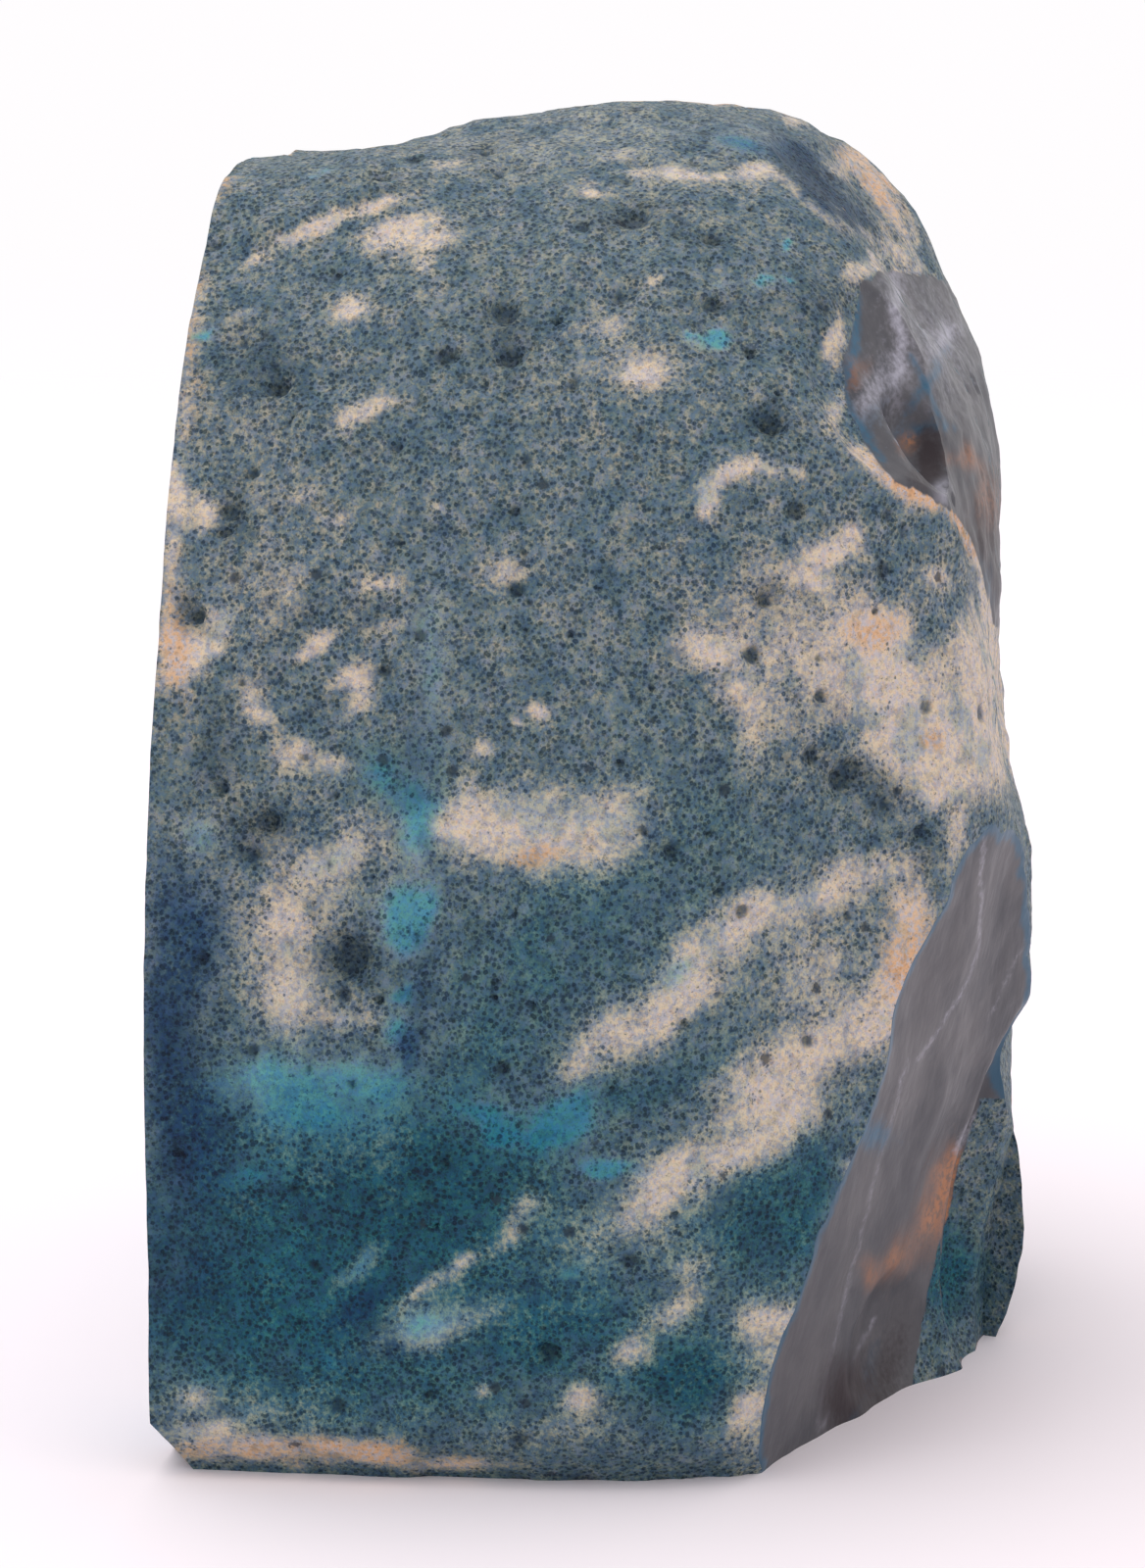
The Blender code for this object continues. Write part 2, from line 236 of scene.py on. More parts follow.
# Marks of the near rind as the photograph shows them: pixel across, pixel down, half length and
# half width in pixels, slant in degrees (rising to the right), strength
CREAM = (
    # Haze over wide areas
    (590, 145, 130, 34, 3, 0.25), (740, 200, 60, 22, 0, 0.15), (640, 400, 90, 70, 0, 0.12),
    (240, 450, 70, 130, 0, 0.12), (850, 620, 90, 60, 0, 0.15), (850, 1000, 90, 80, 0, 0.12),
    # Left shoulder of the crown; the thin line along the crease is a painted highlight on its top
    (418, 241, 34, 13, 12, 0.95), (391, 251, 14, 7, 35, 0.7), (428, 267, 8, 7, 0, 0.6),
    (333, 226, 64, 4, 18, 1.0), (392, 206, 12, 4, 14, 0.8), (360, 318, 17, 9, 0, 0.9),
    (221, 186, 14, 14, 0, 0.5), (458, 163, 14, 5, 15, 0.5), (262, 262, 26, 4, 25, 0.55),
    (257, 324, 14, 5, 28, 0.6), (361, 425, 28, 7, 27, 0.7), (391, 412, 12, 5, 20, 0.5),
    (445, 292, 12, 6, 20, 0.35),
    # Top, and the upper middle under it
    (693, 176, 14, 5, 0, 0.9), (727, 177, 26, 5, 0, 0.9), (770, 171, 12, 5, 0, 0.9),
    (652, 176, 14, 4, 8, 0.6), (607, 198, 12, 5, 0, 0.9), (639, 160, 12, 5, 8, 0.4),
    (655, 378, 24, 11, -4, 1.0), (628, 332, 22, 8, 10, 0.45), (663, 286, 15, 3, 22, 0.7),
    (580, 337, 22, 5, 28, 0.35),
    # Far cap
    (808, 115, 12, 6, -15, 0.8), (848, 174, 10, 8, -40, 0.6), (874, 170, 22, 9, -52, 0.9),
    (898, 200, 24, 10, -60, 0.9), (926, 238, 20, 10, -62, 0.6),
    # Lip of the upper break, and the arc left of it; the lip is partly its own pale colour and partly a
    # painted highlight on its ridge
    (893, 268, 26, 6, 16, 0.9), (851, 352, 6, 24, 0, 0.75), (853, 418, 9, 24, -20, 0.7),
    (926, 496, 48, 8, -31, 1.0), (982, 545, 26, 6, -62, 1.0), (742, 487, 30, 7, 30, 0.85),
    (722, 514, 10, 9, 45, 0.9), (778, 478, 22, 4, -4, 0.6),
    # Left rim, and the left half down to the middle
    (177, 507, 10, 30, 5, 0.8), (178, 665, 13, 26, 5, 0.95), (206, 660, 26, 12, 42, 0.95),
    (232, 633, 14, 8, 30, 0.6), (204, 525, 10, 12, 0, 0.75), (321, 660, 14, 5, 35, 0.9),
    (366, 692, 16, 13, 20, 0.85), (374, 716, 12, 12, 0, 0.5), (308, 507, 16, 8, 20, 0.4),
    (348, 528, 12, 8, 20, 0.45), (382, 594, 18, 10, 10, 0.6), (453, 525, 12, 6, -20, 0.6),
    (522, 588, 22, 12, 0, 0.5), (391, 641, 18, 6, 15, 0.35), (268, 716, 12, 20, 25, 0.75),
    (302, 768, 16, 16, 0, 0.6), (337, 786, 16, 10, 0, 0.5), (498, 766, 10, 6, 10, 0.8),
    (554, 725, 9, 11, 30, 0.85), (531, 742, 6, 5, 0, 0.7),
    # Haze over the lower half
    (290, 605, 40, 40, 0, 0.3), (360, 858, 70, 40, 0, 0.32), (300, 940, 60, 60, 0, 0.25),
    (315, 1120, 90, 80, 0, 0.28), (640, 1250, 110, 50, 30, 0.33), (785, 1420, 36, 80, 0, 0.4),
    (250, 1440, 120, 30, 0, 0.28),
    # Great patch in the middle, and the clouds left of it
    (478, 850, 36, 22, 5, 0.85), (520, 834, 42, 22, 8, 0.85), (566, 850, 34, 28, 0, 0.9),
    (626, 838, 34, 28, 20, 0.85), (485, 801, 14, 12, 0, 0.35), (337, 880, 24, 11, 10, 0.55),
    (206, 852, 16, 14, 0, 0.4),
    # Right side under the upper break
    (838, 566, 32, 14, 18, 1.0), (832, 592, 14, 9, 0, 0.95), (866, 543, 8, 8, 0, 0.8),
    (800, 740, 40, 60, 10, 0.3), (760, 600, 60, 40, 0, 0.2), (957, 587, 15, 10, -30, 0.7),
    (724, 664, 24, 15, 0, 0.85), (754, 704, 20, 14, -30, 0.7), (770, 748, 12, 26, 0, 0.45),
    (790, 666, 60, 30, 0, 0.4), (893, 644, 26, 18, -35, 1.0), (902, 692, 46, 42, -20, 1.0),
    (936, 756, 42, 34, -35, 1.0), (1006, 690, 26, 56, 0, 1.0), (1004, 755, 32, 36, 0, 1.0),
    (958, 808, 26, 14, 15, 0.85), (978, 845, 10, 24, 0, 0.6),
    # Slanting bands of the lower right, and the band beside the lower break
    (905, 884, 30, 10, 10, 0.6), (840, 908, 40, 17, 22, 0.8), (768, 934, 40, 18, 24, 0.75),
    (722, 962, 34, 18, 36, 0.7), (704, 1000, 34, 18, 38, 0.65), (932, 940, 14, 34, 0, 0.9),
    (925, 1000, 22, 34, 0, 0.9), (835, 985, 44, 38, 0, 0.34), (905, 1040, 34, 20, 20, 0.9),
    (820, 1078, 50, 26, 22, 0.72), (775, 1112, 36, 24, 30, 0.85), (806, 1140, 26, 16, 0, 0.9),
    (760, 1178, 38, 14, 20, 0.9), (690, 1196, 34, 19, 38, 0.85), (660, 1230, 24, 9, 42, 0.9),
    (626, 1050, 38, 19, 40, 0.7), (680, 1036, 36, 16, 34, 0.7), (590, 1090, 22, 16, 40, 0.65),
    # Along the lower break and the foot
    (872, 1187, 12, 12, 0, 0.8), (872, 1232, 20, 6, 62, 0.8), (850, 1282, 18, 6, 62, 0.75),
    (790, 1348, 22, 15, 10, 0.7), (808, 1386, 14, 14, 0, 0.55), (768, 1440, 26, 9, 52, 0.85),
    (690, 1336, 30, 14, 36, 0.6), (642, 1382, 17, 12, 30, 0.7), (592, 1430, 20, 12, -15, 0.85),
    (493, 1413, 12, 6, 20, 0.5), (706, 1296, 24, 12, 30, 0.35),
    # Streaks of the lower middle
    (437, 1352, 52, 17, 20, 0.7), (442, 1310, 34, 6, 36, 0.7), (361, 1295, 20, 7, 40, 0.45),
    (474, 1287, 10, 4, 40, 0.6), (535, 1236, 14, 12, 40, 0.45), (520, 1260, 18, 9, 50, 0.5),
    # Foot; its pale lower edge is painted light thrown up from the floor
    (207, 1457, 26, 10, 0, 0.8), (196, 1424, 16, 12, 0, 0.5), (262, 1480, 56, 9, -2, 0.95),
    (350, 1483, 64, 8, -3, 0.9), (462, 1492, 52, 5, -3, 0.85), (560, 1462, 70, 16, 0, 0.3),
    # Lower left
    (293, 945, 26, 34, 0, 0.6), (290, 1014, 24, 26, 0, 0.6), (349, 1036, 26, 14, 0, 0.65),
    (262, 1106, 22, 16, 0, 0.6), (366, 1102, 22, 12, 0, 0.4),
)

TURQUOISE = (
    # Haze over wide areas
    (610, 150, 130, 34, 3, 0.22), (315, 1125, 95, 80, 0, 0.3), (540, 1145, 70, 30, -10, 0.4),
    # Crown and upper half
    (752, 140, 50, 12, -8, 0.25), (327, 179, 17, 5, 10, 0.7), (213, 340, 8, 4, 15, 1.0),
    (733, 348, 17, 7, -6, 1.0), (701, 340, 9, 4, 0, 0.8), (773, 284, 13, 6, 10, 0.9),
    (800, 278, 8, 4, 0, 0.9), (800, 252, 5, 4, 0, 0.9), (733, 289, 16, 5, 5, 0.5),
    (766, 144, 40, 12, -12, 0.3),
    # Column down the left half, and the cloud at its foot
    (431, 840, 18, 34, 0, 0.8), (424, 928, 32, 22, 35, 0.9), (420, 950, 20, 16, 0, 0.95),
    (408, 1014, 10, 10, 0, 0.7), (402, 1051, 12, 12, 0, 0.7), (370, 1104, 42, 24, 0, 0.7),
    (268, 1106, 40, 24, 0, 0.65), (325, 1144, 34, 18, 0, 0.65), (258, 1200, 22, 12, 10, 0.6),
    # Spots right of the cloud, and down to the foot
    (494, 1134, 18, 10, -10, 0.9), (516, 1161, 16, 8, 0, 0.85), (580, 1140, 24, 19, 0, 0.95),
    (555, 1160, 14, 11, 0, 0.8), (622, 1192, 25, 9, 0, 0.95), (580, 1296, 16, 11, 20, 0.6),
    (436, 1348, 48, 15, 22, 0.6), (361, 1295, 20, 7, 40, 0.6), (330, 1398, 12, 11, 0, 0.6),
    (205, 1404, 18, 11, 0, 0.5), (829, 1346, 9, 10, 60, 0.8), (795, 1412, 9, 12, 55, 0.7),
    # Column's upper end, and faint spots
    (440, 690, 20, 80, 0, 0.4), (456, 560, 18, 50, -10, 0.3), (385, 795, 30, 20, 0, 0.5),
    (695, 985, 26, 9, 36, 0.35), (206, 852, 18, 16, 0, 0.55), (337, 880, 24, 11, 10, 0.4),
)

BLUE = (
    # Column down the left half
    (453, 547, 12, 26, 0, 0.5), (432, 700, 16, 60, 0, 0.35), (430, 780, 18, 36, 0, 0.35),
    (416, 1066, 10, 20, 0, 0.95), (425, 1000, 16, 40, 0, 0.6),
    # Left edge and lower left
    (200, 945, 30, 50, 0, 0.8), (176, 1060, 24, 130, 0, 0.95), (205, 1160, 36, 50, 0, 0.85),
    (190, 1310, 60, 70, 0, 0.5),
    # Crown and its valley
    (762, 144, 44, 12, -12, 0.6), (818, 165, 30, 14, -45, 0.75), (856, 212, 34, 12, -40, 0.85),
    # Streaks near the foot, and the side of the upper break
    (372, 1332, 44, 12, 38, 0.8), (400, 1380, 56, 12, 12, 0.6), (1000, 590, 8, 18, 0, 0.7),
)

TEAL = (
    # Wide stains, and the far lump
    (480, 1340, 400, 270, 0, 0.42), (600, 900, 260, 160, 10, 0.2), (700, 850, 120, 90, 10, 0.25),
    (965, 1300, 30, 50, 0, 0.9),
    # Lower half
    (400, 1215, 130, 80, 0, 1.0), (290, 1330, 150, 90, 0, 0.8), (600, 960, 90, 60, 10, 0.3),
    (500, 1040, 80, 80, 0, 0.3), (675, 1105, 64, 20, 26, 0.5), (780, 1250, 60, 56, 40, 0.75),
    (832, 1190, 22, 40, -20, 0.6),
    # Foot, column and left side
    (715, 1405, 52, 34, 0, 0.85), (556, 1340, 80, 50, 0, 0.75), (330, 1420, 90, 30, 0, 0.5),
    (400, 795, 50, 30, 0, 0.5), (520, 1300, 300, 190, 0, 0.1), (230, 1150, 60, 90, 0, 0.5),
)

# Darker rind, mostly in the hollows, the pits and the crown's valley: partly dye that gathered there,
# partly painted shade
DARK = (
    # Crown and the hollows under it
    (818, 170, 26, 14, -45, 0.45), (270, 375, 32, 34, -50, 0.55), (516, 340, 26, 32, 0, 0.5),
    (647, 219, 34, 11, 0, 0.6), (727, 242, 30, 9, 0, 0.45), (727, 310, 26, 9, 8, 0.6),
    (832, 305, 36, 28, 0, 0.45),
    # Left half down to the great pit
    (240, 522, 16, 30, 0, 0.6), (194, 626, 12, 12, 0, 0.8), (311, 628, 30, 10, 40, 0.5),
    (364, 622, 24, 12, 20, 0.35), (217, 730, 18, 24, 0, 0.4), (222, 780, 24, 24, 0, 0.6),
    (262, 846, 28, 20, 0, 0.75), (252, 872, 12, 10, 0, 0.7), (279, 689, 18, 7, 35, 0.4),
    (335, 713, 14, 13, 0, 0.3),
    # Soft pit of the lower left, and the walls and pits of the right side
    (354, 980, 30, 26, 0, 0.8), (874, 788, 34, 13, -12, 0.7), (900, 814, 16, 12, 0, 0.6),
    (938, 850, 16, 8, 15, 0.5), (948, 874, 13, 13, 0, 0.6), (779, 606, 12, 14, 0, 0.7),
    (786, 431, 22, 14, 0, 0.7),
    # Lower half
    (858, 1096, 16, 10, 30, 0.4), (834, 1146, 11, 11, 0, 0.5), (180, 1040, 26, 90, 0, 0.45),
    (190, 1320, 50, 60, 0, 0.2), (420, 1225, 90, 50, 10, 0.4), (459, 1181, 14, 10, 0, 0.6),
    (770, 1245, 40, 26, 40, 0.35), (716, 1410, 40, 22, 0, 0.4),
    # Streaks of the crown, and a drop in the middle
    (391, 190, 22, 5, 5, 0.6), (495, 152, 18, 5, 5, 0.6), (506, 175, 14, 4, 5, 0.5),
    (850, 205, 44, 12, -44, 0.7), (590, 640, 16, 12, 0, 0.2),
)

WARM = (
    # Along the crease and the lip: painted highlight, with some of the lip's own warm colour
    (333, 226, 64, 5, 18, 0.3), (930, 498, 50, 9, -31, 0.65), (982, 545, 26, 8, -62, 0.9),
    (175, 660, 16, 60, 0, 0.5), (190, 300, 12, 90, 5, 0.6), (548, 870, 28, 9, 6, 0.6),
    (892, 644, 26, 18, 0, 0.5), (950, 755, 14, 12, 0, 0.6), (930, 985, 26, 60, 0, 0.6),
    # The first is the foot's lower edge: painted light thrown up from the floor
    (330, 1482, 190, 10, -2, 0.6), (760, 1110, 60, 30, 25, 0.05), (890, 190, 44, 12, -54, 0.55),
    (221, 186, 16, 16, 0, 0.5),
)

# Marks of the broken faces, read in the same way
STAIN = (
    (958, 1225, 14, 40, -12, 0.9), (975, 1190, 16, 10, 50, 0.7), (915, 1280, 24, 12, 60, 0.7),
    (885, 1300, 10, 16, 0, 0.6), (926, 452, 12, 10, 40, 0.7), (872, 380, 12, 16, 0, 0.5),
    (985, 470, 18, 9, -30, 0.6), (1006, 520, 12, 30, 0, 0.7),
)
PALE = (
    (916, 340, 5, 62, 0, 0.45), (913, 296, 10, 20, 0, 0.2), (950, 360, 50, 70, 0, 0.3),
    (886, 410, 13, 34, -28, 0.4), (966, 345, 7, 12, -30, 0.5), (962, 500, 8, 12, 0, 0.6),
)
# Painted shadow in the recesses of the broken faces: the hole under the lip of the upper break, and the
# recess low on the lower break
SHADE = (
    (950, 468, 16, 30, 0, 1.0), (934, 405, 20, 26, -40, 0.3), (1004, 560, 18, 60, 0, 0.75),
    (868, 1425, 24, 40, -20, 0.95), (905, 1400, 16, 40, -10, 0.5),
)
DYE = (
    (945, 392, 5, 44, -30, 0.6), (938, 440, 22, 5, 20, 0.6), (868, 330, 9, 60, 0, 0.3),
    (880, 440, 10, 50, -40, 0.3), (895, 1163, 14, 12, 40, 0.7), (880, 1420, 6, 40, -15, 0.8),
    (1001, 592, 7, 22, 0, 0.9),
)

# Areas seen on the photograph whose surface isn't what the solid's cuts make it: outlines in pixels
WORN = {
    "upper break": (
        (880, 288), (905, 276), (945, 280), (1000, 300), (1060, 420), (1060, 650), (1012, 640), (1003, 590),
        (988, 545), (971, 522), (946, 505), (913, 491), (882, 455), (864, 415), (860, 372), (870, 330),
    ),
}
CRUST = {
    "left of upper break": (
        (790, 270), (905, 270), (880, 288), (870, 330), (860, 372), (864, 415), (882, 455), (913, 491),
        (946, 505), (930, 540), (800, 500),
    ),
    "crown": ((700, 60), (1000, 60), (1000, 268), (945, 272), (880, 262), (700, 200)),
    "far lump": (
        (1000, 1120), (1080, 1120), (1080, 1450), (925, 1450), (932, 1400), (944, 1330), (958, 1270),
        (975, 1200),
    ),
}
STROKES_CREAM = {
    "break edge": (5, 0.7, (876, 285), (890, 276), (923, 278), (941, 276)),
    # Partly the lip's own pale colour, partly a painted highlight on its ridge
    "lip": (6, 0.9, (869, 461), (913, 490), (946, 504), (971, 521), (988, 543), (1002, 585), (1007, 633)),
    "arc": (7, 0.8, (716, 522), (725, 500), (745, 483), (775, 475), (815, 480)),
    "crest": (5, 0.5, (781, 168), (808, 190), (835, 217), (856, 230), (886, 241), (915, 254), (942, 273)),
    # Painted highlight along the top of the crease
    "crease": (5, 0.8, (284, 243), (320, 230), (399, 205)),
    "left rim": (9, 0.5, (205, 290), (190, 400), (180, 500), (172, 600), (166, 700)),
}
STROKES_DYE = {
    "upper border": (5, 0.55, (876, 300), (871, 358), (858, 397), (875, 436), (901, 472)),
    "upper curve": (4, 0.6, (929, 363), (952, 408), (960, 425)),
    "hole rim": (4, 0.7, (941, 439), (971, 436)),
}
# Pale lines along the ridges, the crease and the hackles of the lower break: painted glints
STROKES_BREAK = {
    "outer ridge": (
        3, 0.35, (1011, 820), (1004, 866), (1001, 900), (998, 966), (988, 999), (965, 1039), (935, 1082),
    ),
    "right ridge": (3, 0.25, (1048, 956), (1008, 1039)),
    "crease": (4, 0.5, (1000, 1131), (974, 1177)),
    "far line": (3, 0.7, (984, 1182), (974, 1253)),
    "low ridge": (3, 0.4, (892, 1345), (838, 1458)),
    "hackle": (3, 0.3, (926, 1080), (870, 1290), (831, 1463)),
}

# Each kind of mark: its blobs, its strokes, then the drift that stands in for them out of sight:
# length, and the noise values between which it comes in
MARKS = {
    "cream": (CREAM, STROKES_CREAM, 13.0, 0.12, 0.75),
    "warm": (WARM, {}, 11.0, 0.0, 0.5),
    "turquoise": (TURQUOISE, {}, 9.0, 0.25, 0.6),
    "blue": (BLUE, {}, 16.0, 0.2, 0.6),
    "teal": (TEAL, {}, 20.0, -0.05, 0.45),
    "dark": (DARK, {}, 10.0, 0.25, 0.75),
    "stain": (STAIN, {}, 12.0, 0.3, 0.7),
    "pale": (PALE, STROKES_BREAK, 9.0, 0.35, 0.9),
    "shade": (SHADE, {}, 9.0, 0.55, 1.0),
    "dye": (DYE, STROKES_DYE, 10.0, 0.4, 0.9),
}

# The areas, and the drifts that stand in for them out of sight
AREAS = {
    "worn": (WORN, 14.0, 0.5, 0.8),
    "crust": (CRUST, 14.0, 0.35, 0.6),
}
DRIFT_SHARES = (1.0, 0.4, 0.16)
DRIFT_STEP = np.array((7.3, 3.1, 5.7))
DRIFT_STRENGTH = 0.9

# Edges of the marks: how far areas and blobs spread, the length and size of the noise that strays
# them, the share of it that strokes and areas get, and where in the noise its three parts are read
AREA_EDGE = 4.0
BLOB_SPREAD = 1.3
PATCH_STRAY = ((7.0, 0.9), (2.4, 0.7))
STILL_SHARE = 0.25
STRAY_STARTS = ((0.0, 0.0, 0.0), (31.4, 17.7, 5.2), (8.6, 47.1, 23.9))

# How squarely a surface faces the photograph's eye where the marks read from it give way to drifts
SEEN_FACING = (-0.02, 0.12)
SHARP_ANGLE = 50.0

# Colours of the polished face from the middle out to the rind
FACE_BANDS = [
    (0.0, (168, 178, 184)),
    (0.12, (196, 202, 204)),
    (0.22, (120, 160, 176)),
    (0.30, (186, 204, 210)),
    (0.38, (64, 130, 156)),
    (0.46, (150, 188, 200)),
    (0.55, (32, 96, 124)),
    (0.62, (96, 156, 176)),
    (0.70, (24, 78, 104)),
    (0.80, (60, 128, 150)),
    (0.87, (18, 62, 86)),
    (0.94, (120, 150, 156)),
    (0.98, (70, 90, 96)),
]

# Fine lines of the polished face: how often they come, and how strong they are
FACE_LINES = ((330.0, 0.5), (910.0, 0.35))

# Colours of the stone as the photograph shows them
LILAC = (198, 191, 193)
IVORY = (221, 203, 176)
ORANGE = (218, 166, 122)
INK = (30, 44, 58)
FLINT = (74, 75, 81)
DOVE = (89, 88, 92)
GLINT = (150, 148, 152)
RUST = (172, 116, 80)
UMBER = (122, 96, 84)
PALE_AND_GLINT = (186, 184, 198)
TIDE = (48, 96, 124)
PAINTED_SHADOW = (52, 44, 48)
MILK = (205, 220, 226)
SAWN_BLUE = (120, 132, 140)
SAWN_GREY = (158, 158, 156)
SAWN_DUST = (190, 185, 180)
SAWN_EDGE = (62, 108, 126)

# Shares of red, green and blue light that dye and ink let through; the hollows' share is painted shade
SLATE_DYE = (0.195, 0.34, 0.455, 1.0)
TEAL_DYE = (0.05, 0.47, 0.62, 1.0)
BLUE_DYE = (0.2, 0.42, 0.7, 1.0)
TURQUOISE_DYE = (0.19, 0.68, 0.92, 1.0)
GRAIN_SHADE = (0.66, 0.68, 0.72, 1.0)
CLOUD_SHADE = (0.58, 0.74, 0.86, 1.0)
SPECK_SHADE = (0.1, 0.21, 0.3, 1.0)
HOLLOW_SHADE = (0.2, 0.27, 0.33, 1.0)

# Noises of the rind: grain size, detail, roughness
RIND_NOISES = {
    "clouds": (4.2, 3.0, 0.55),
    "wide": (2.4, 3.0, 0.6),
    "mottle": (1.5, 3.0, 0.62),
    "hue": (0.55, 3.0, 0.7),
    "fine": (0.4, 3.0, 0.66),
    "grain": (0.27, 2.0, 0.65),
}

# Marks of the rind: how far clouds and dust fray them, and between which values they come in
RIND_FRAYS = {
    "cream": (0.75, 0.9, 0.02, 0.89),
    "turquoise": (0.7, 0.4, 0.1, 0.8),
    "blue": (0.6, 0.35, 0.05, 0.9),
    "teal": (0.8, 0.35, 0.0, 0.95),
    "warm": (0.6, 0.35, 0.1, 0.8),
}
SPECK_EDGES = (0.64, 0.52)
PORE_SPACING = 0.5
DOT_SPACING = 3.6
HACKLE_STRETCH = ((0.35, 0.0, 0.0), (1.0, 1.0, 0.12))
KERF_STRETCH = ((0.0, 0.0, 0.3), (1.0, 0.04, 1.0))
RELIEF_DEPTH = 0.22
RIND_SPECULAR = 0.2

# Studio: lights by place in metres, size in metres and power in watts
LIGHT_LEVEL = 1.1
WORLD_COLOUR = (1.0, 0.982, 0.994, 1.0)
WORLD_STRENGTH = 1.0
LIGHTS = {
    "key": ((-0.1, -0.25, 0.95), 1.0, 3.2),
}
FLOOR_RADIUS = 0.9
FLOOR_FADE = 0.12
FLOOR_COLOUR = (0.95, 0.88, 0.915, 1.0)


def unit(bearing, tilt):
    """Direction from a bearing and a tilt in degrees."""
    turn, rise = math.radians(bearing), math.radians(tilt)
    return np.array((math.cos(turn) * math.cos(rise), math.sin(turn) * math.cos(rise), math.sin(rise)))


BACK = np.array((
    math.sin(math.radians(VIEW_BEARING)) * math.cos(math.radians(VIEW_RISE)),
    -math.cos(math.radians(VIEW_BEARING)) * math.cos(math.radians(VIEW_RISE)),
    math.sin(math.radians(VIEW_RISE)),
))
RIGHT = np.array((math.cos(math.radians(VIEW_BEARING)), math.sin(math.radians(VIEW_BEARING)), 0.0))
UP = np.cross(BACK, RIGHT)
EYE = AIM + VIEW_DISTANCE * BACK


def pixel_direction(across, down):
    """Direction from the eye through a pixel of the photograph."""
    ray = (across - PHOTO_WIDTH / 2) / FOCAL_PIXELS * RIGHT
    ray = ray + (PHOTO_HEIGHT / 2 - down) / FOCAL_PIXELS * UP - BACK
    return ray / np.linalg.norm(ray)


def smoothstep(low, high, values):
    share = np.clip((values - low) / (high - low), 0.0, 1.0)
    return share * share * (3.0 - 2.0 * share)


def noise_at(points, length, start=(0.0, 0.0, 0.0)):
    shift = Vector(start)
    return np.array([noise.noise(Vector(point) / length + shift) for point in points])


def noise_vectors(points, length):
    return np.stack([noise_at(points, length, start) for start in STRAY_STARTS], axis=1)


def nodule_radius(directions):
    """Distance from the core to the rounded polyhedron that the flats bound."""
    crowding = np.zeros(len(directions))
    for bearing, tilt, distance in FLATS.values():
        facing = np.clip(directions @ unit(bearing, tilt), 0.0, None)
        crowding += (facing / distance) ** ROUNDING
    return crowding ** (-1.0 / ROUNDING)


def rind_point(along, up):
    """Point of the rounded polyhedron on the near side, at a given Y and height."""
    inner, outer = 0.0, SAW_REACH
    for _ in range(HALVINGS):
        middle = (inner + outer) / 2.0
        offset = np.array((middle, along, up - CORE_HEIGHT))
        reach = np.linalg.norm(offset)
        inside = reach < nodule_radius(offset[None] / reach)[0]
        inner, outer = (middle, outer) if inside else (inner, middle)
    return np.array((inner, along, up))


def seen_point(across, down):
    """Where the photograph's line of sight through a pixel meets the rounded polyhedron."""
    ray = pixel_direction(across, down)
    steps = np.linspace(VIEW_DISTANCE - SAW_REACH, VIEW_DISTANCE + SAW_REACH, SIGHT_STEPS)
    offsets = EYE + steps[:, None] * ray - CORE
    reach = np.linalg.norm(offsets, axis=1)
    inside = reach < nodule_radius(offsets / reach[:, None])
    if not inside.any():
        return None
    return CORE + offsets[inside.argmax()]


def distance_to_segment(points, start, end):
    line = end - start
    along = np.clip((points - start) @ line / (line @ line), 0.0, 1.0)
    return np.linalg.norm(points - start - along[:, None] * line, axis=1)


def strewn_pits():
    """Seeded pits over the whole rind: place, radius and depth."""
    draw = np.random.default_rng(7)
    directions = draw.normal(size=(STREWN_PITS, 3))
    directions /= np.linalg.norm(directions, axis=1)[:, None]
    places = CORE + directions * nodule_radius(directions)[:, None]
    low, high = STREWN_RADII
    radii = low + (high - low) * draw.random(STREWN_PITS) ** STREWN_CROWDING
    least, more = STREWN_DEPTHS
    return list(zip(places, radii, least + more * radii * draw.random(STREWN_PITS)))


def near_pits():
    """The pits that the photograph shows: place, radius and depth."""
    pits = []
    for across, down, radius, depth in NEAR_PITS:
        place = seen_point(across, down)
        if place is not None:
            scale = (EYE - place) @ BACK / FOCAL_PIXELS
            pits.append((place, radius * scale, depth))
    return pits


def pit_depths(points, pits):
    """(how far each point sinks, how deep in a pit it lies from 0 to 1)."""
    strayed = points + PIT_STRAY * noise_vectors(points, PIT_GRAIN)
    sink = np.zeros(len(points))
    share = np.zeros(len(points))
    for place, radius, depth in pits:
        close = np.flatnonzero(np.abs(strayed - place).max(axis=1) < PIT_REACH * radius)
        if len(close) == 0:
            continue
        away = np.linalg.norm(strayed[close] - place, axis=1) / (PIT_REACH * radius)
        bowl = np.clip(1.0 - away**2, 0.0, None) ** PIT_WALL
        sink[close] = np.maximum(sink[close], depth * bowl)
        share[close] = np.maximum(share[close], bowl)
    return sink, share


def rind_offsets(points, pits):
    """How far the rind stands out from the rounded polyhedron."""
    offsets = np.zeros(len(points))
    for length, height, start in WAVES:
        offsets += height * noise_at(points, length, start)
    for bearing, tilt, reach, height in [*SWELLS.values(), *DENTS.values()]:
        direction = unit(bearing, tilt)
        middle = CORE + direction * nodule_radius(direction[None])[0]
        offsets += height * np.exp(-(np.linalg.norm(points - middle, axis=1) / reach) ** 2)
    for height, half_width, *places in RIDGES.values():
        corners = [rind_point(along, up) for along, up in places]
        away = np.min([distance_to_segment(points, *ends) for ends in zip(corners, corners[1:])], axis=0)
        offsets += height * np.exp(-((away / half_width) ** 2))
    return offsets - pit_depths(points, pits)[0]


